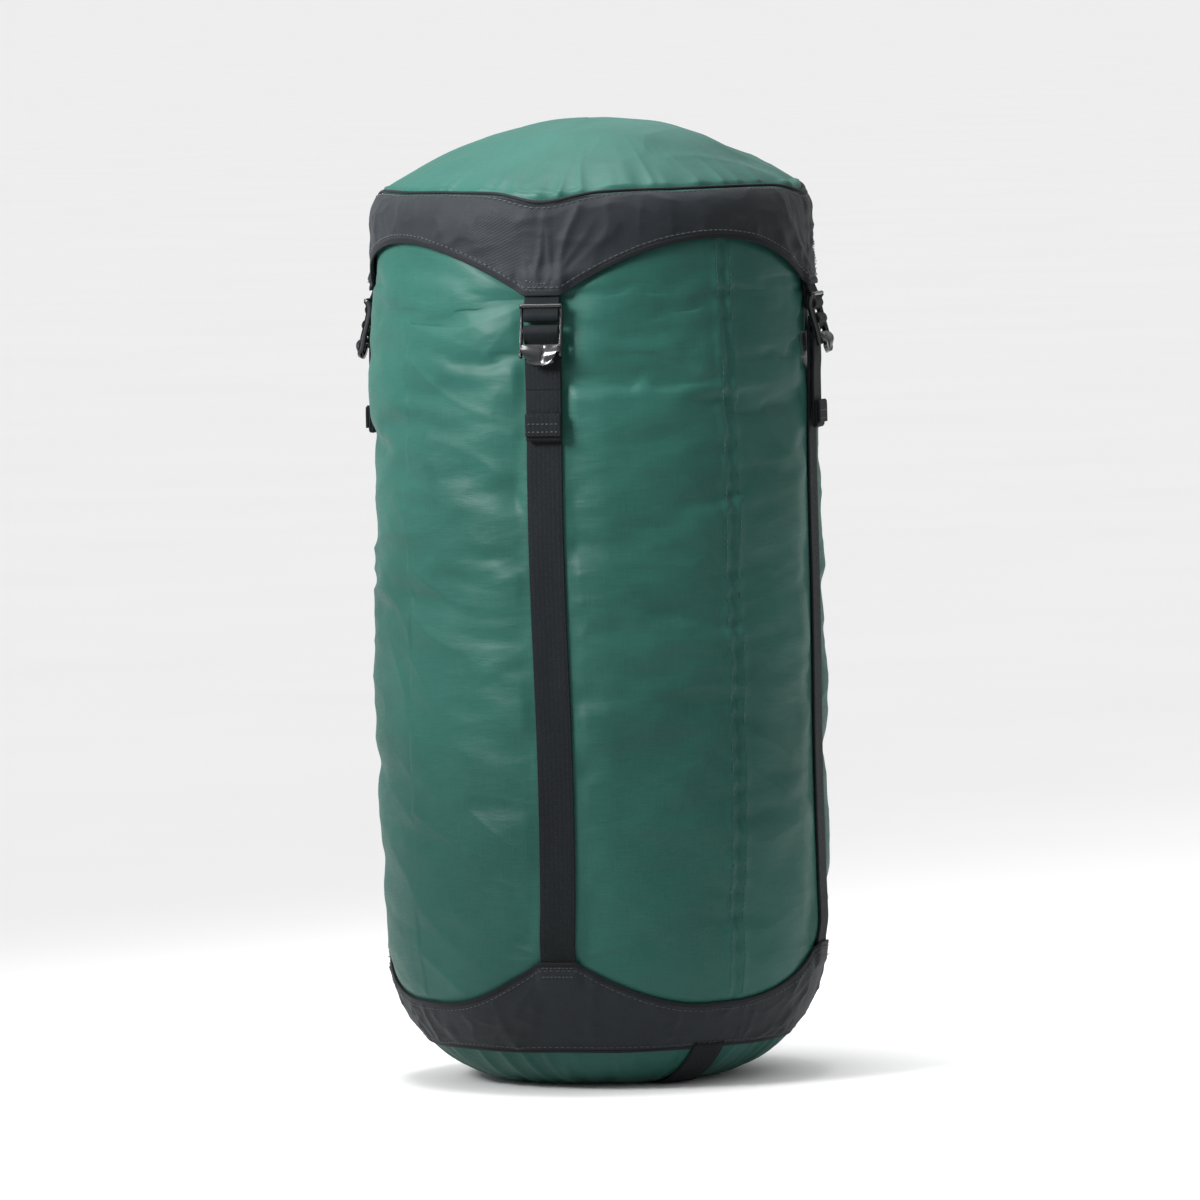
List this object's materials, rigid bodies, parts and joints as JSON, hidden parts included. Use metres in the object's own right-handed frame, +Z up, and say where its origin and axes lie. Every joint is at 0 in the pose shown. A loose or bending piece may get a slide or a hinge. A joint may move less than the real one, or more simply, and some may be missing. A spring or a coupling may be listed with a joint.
{
  "type": "compression sack",
  "caption": "Stuffed round compression sack with a separate fabric lid, compression straps through ladderlock buckles, and a webbing handle across its base.",
  "frame": {"origin": "on the floor at the middle of the round base", "axes": "+Z up along the sack's length; -Y towards the front strap; +X towards the right strap"},
  "size_m": [0.2576, 0.2576, 0.51],
  "materials": {
    "green_nylon": "satin coated nylon",
    "black_nylon": "matte packcloth",
    "webbing": "matte ribbed webbing",
    "buckle_plastic": "semi-gloss moulded acetal",
    "cord": "braided cord",
    "spring_steel": "drawn wire"
  },
  "bodies": {
    "bag": {"base_panel": "green_nylon", "bottom_handle": "webbing", "base_yoke": "black_nylon", "body_tube": "green_nylon", "strap_front": "webbing", "strap_right": "webbing", "strap_back": "webbing", "strap_left": "webbing"},
    "lid": {"lid_crown": "green_nylon", "lid_yoke": "black_nylon", "lid_pull_loop": "webbing", "gathered_mouth": "green_nylon", "mouth_hem": "black_nylon", "drawcord": "cord", "cord_lock_barrel": "buckle_plastic", "cord_lock_spring": "spring_steel", "lid_tab_front": "webbing", "lid_tab_right": "webbing", "lid_tab_back": "webbing", "lid_tab_left": "webbing"},
    "plunger": {"cord_lock_plunger": "buckle_plastic"},
    "buckle_front": {"ladderlock_front": "buckle_plastic", "strap_wrap_front": "webbing"},
    "tail_front": {"strap_tail_front": "webbing", "strap_stop_front": "webbing"},
    "buckle_right": {"ladderlock_right": "buckle_plastic", "strap_wrap_right": "webbing"},
    "tail_right": {"strap_tail_right": "webbing", "strap_stop_right": "webbing"},
    "buckle_back": {"ladderlock_back": "buckle_plastic", "strap_wrap_back": "webbing"},
    "tail_back": {"strap_tail_back": "webbing", "strap_stop_back": "webbing"},
    "buckle_left": {"ladderlock_left": "buckle_plastic", "strap_wrap_left": "webbing"},
    "tail_left": {"strap_tail_left": "webbing", "strap_stop_left": "webbing"}
  },
  "joints": [
    {"name": "lid_press", "type": "slide", "parent": "bag", "child": "lid", "axis": [0, 0, -1], "range_m": [-0.025, 0.16], "deforming": ["body_tube", "strap_front", "strap_right", "strap_back", "strap_left"]},
    {"name": "buckle_tilt_front", "type": "hinge", "parent": "lid", "child": "buckle_front", "pos_m": [0, -0.1196, 0.41], "axis": [-1, 0, 0], "range_deg": [0, 35]},
    {"name": "buckle_tilt_right", "type": "hinge", "parent": "lid", "child": "buckle_right", "pos_m": [0.1196, 0, 0.41], "axis": [0, -1, 0], "range_deg": [0, 35]},
    {"name": "buckle_tilt_back", "type": "hinge", "parent": "lid", "child": "buckle_back", "pos_m": [0, 0.1196, 0.41], "axis": [1, 0, 0], "range_deg": [0, 35]},
    {"name": "buckle_tilt_left", "type": "hinge", "parent": "lid", "child": "buckle_left", "pos_m": [-0.1196, 0, 0.41], "axis": [0, 1, 0], "range_deg": [0, 35]},
    {"name": "tail_feed_front", "type": "slide", "parent": "lid", "child": "tail_front", "axis": [0, 0, -1], "range_m": [-0.025, 0.16], "deforming": ["strap_tail_front"]},
    {"name": "tail_feed_right", "type": "slide", "parent": "lid", "child": "tail_right", "axis": [0, 0, -1], "range_m": [-0.025, 0.16], "deforming": ["strap_tail_right"]},
    {"name": "tail_feed_back", "type": "slide", "parent": "lid", "child": "tail_back", "axis": [0, 0, -1], "range_m": [-0.025, 0.16], "deforming": ["strap_tail_back"]},
    {"name": "tail_feed_left", "type": "slide", "parent": "lid", "child": "tail_left", "axis": [0, 0, -1], "range_m": [-0.025, 0.16], "deforming": ["strap_tail_left"]},
    {"name": "cord_lock_press", "type": "slide", "parent": "lid", "child": "plunger", "axis": [0, 0, -1], "range_m": [0, 0.002], "stiffness_N_per_m": 600, "springref_m": -0.002}
  ],
  "couplings": [
    {"joint": "tail_feed_front", "follows": "lid_press", "ratio": 1},
    {"joint": "tail_feed_right", "follows": "lid_press", "ratio": 1},
    {"joint": "tail_feed_back", "follows": "lid_press", "ratio": 1},
    {"joint": "tail_feed_left", "follows": "lid_press", "ratio": 1}
  ]
}
